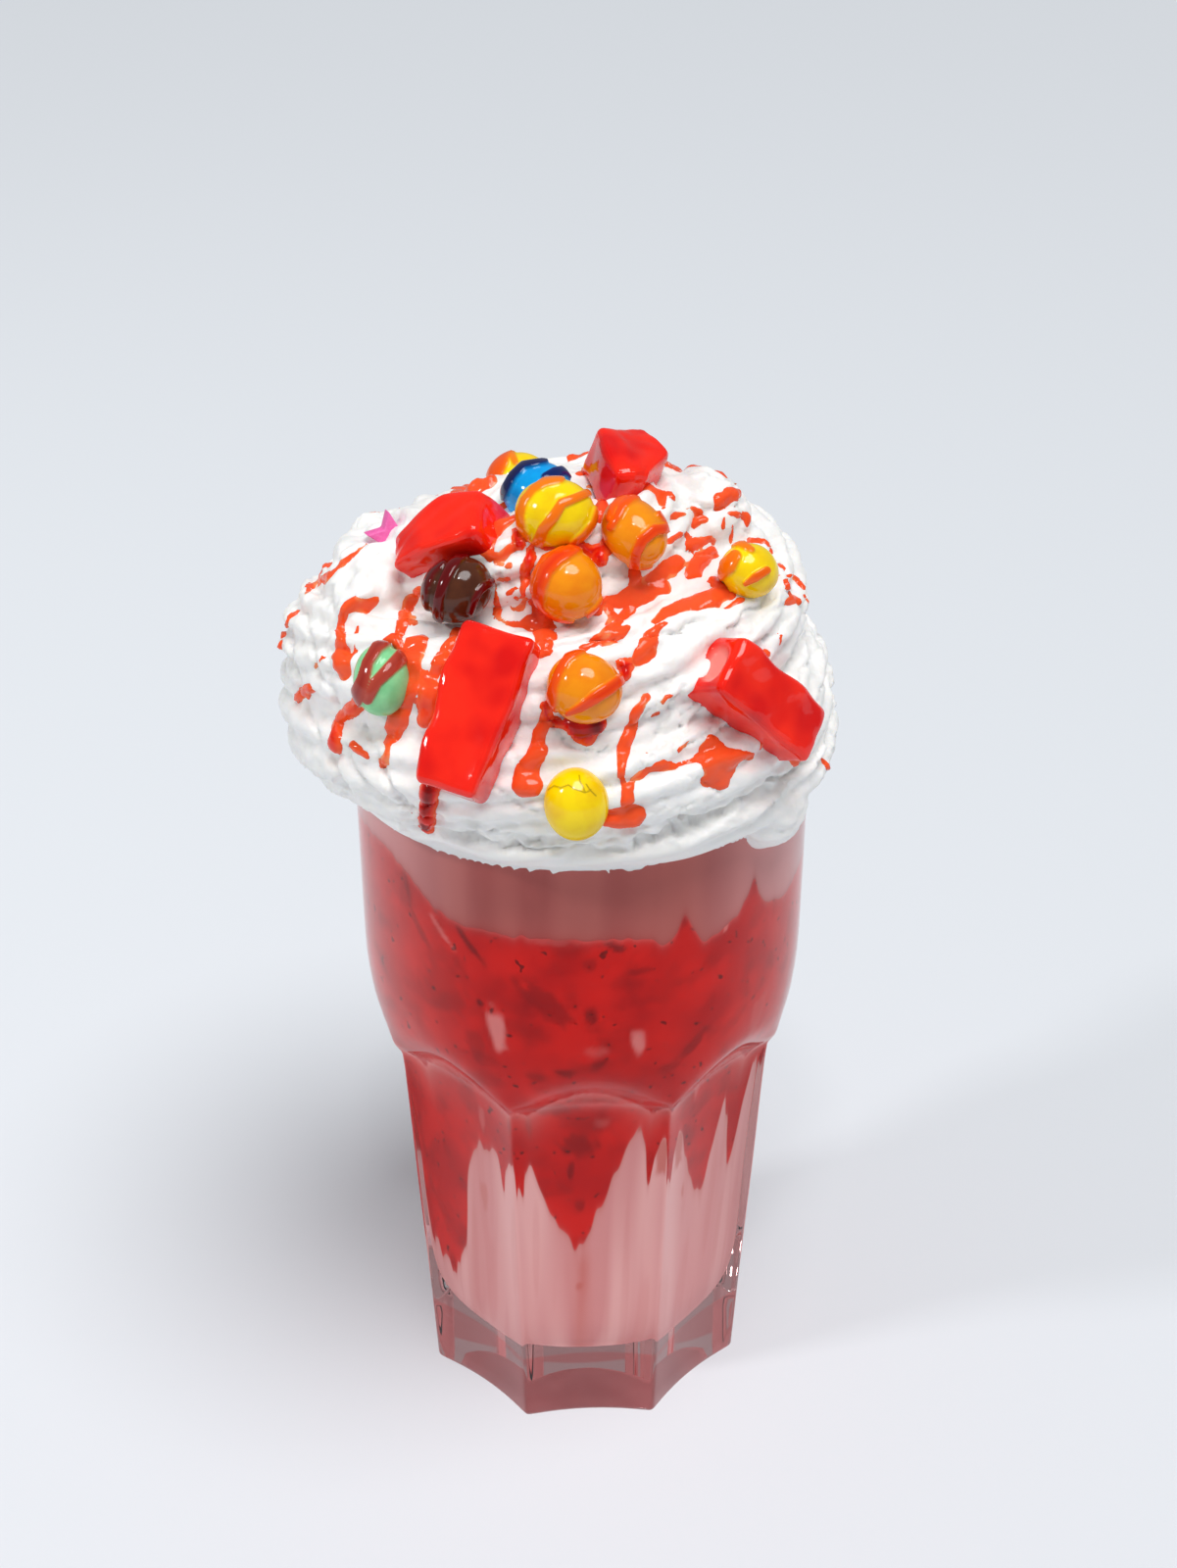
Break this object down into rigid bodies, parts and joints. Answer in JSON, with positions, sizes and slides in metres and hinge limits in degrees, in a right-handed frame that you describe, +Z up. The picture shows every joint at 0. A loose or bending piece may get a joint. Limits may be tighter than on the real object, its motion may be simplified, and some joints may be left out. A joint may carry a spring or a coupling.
{
  "type": "milkshake",
  "caption": "Strawberry milkshake in a fluted tumbler with a red sauce layer, topped with piped whipped cream, sugar-coated candies, jelly pieces and syrup",
  "frame": {"origin": "centre of the flat underside of the glass, on the glass's axis", "axes": "+Z up along the glass's axis, -Y towards the front that the picture shows, +X to the right of that front"},
  "size_m": [0.1071, 0.1095, 0.207],
  "materials": {
    "glass": "clear, thick pressed glass",
    "milk": "opaque pink milk",
    "milk_top": "darker pink milk",
    "strawberry_sauce": "red fruit sauce with dark seeds and pulp",
    "whipped_cream": "soft white whipped cream",
    "candy_yellow": "polished sugar shell",
    "candy_orange": "polished sugar shell",
    "candy_brown": "polished sugar shell",
    "candy_green": "polished sugar shell",
    "candy_blue": "polished sugar shell",
    "red_jelly": "glossy, translucent jelly",
    "pink_sugar": "smooth pink sugar"
  },
  "bodies": {
    "root": {"glass": "glass", "milk_lower": "milk", "strawberry_sauce": "strawberry_sauce", "milk_upper": "milk_top", "whipped_cream": "whipped_cream", "candy_yellow_top": "candy_yellow", "candy_blue": "candy_blue", "candy_yellow_back": "candy_yellow", "candy_orange_right": "candy_orange", "candy_orange_middle": "candy_orange", "candy_brown": "candy_brown", "candy_yellow_right": "candy_yellow", "candy_green": "candy_green", "candy_orange_front": "candy_orange", "candy_yellow_front": "candy_yellow", "jelly_front": "red_jelly", "jelly_right": "red_jelly", "jelly_left": "red_jelly", "jelly_top": "red_jelly", "star_pink": "pink_sugar"}
  },
  "joints": []
}
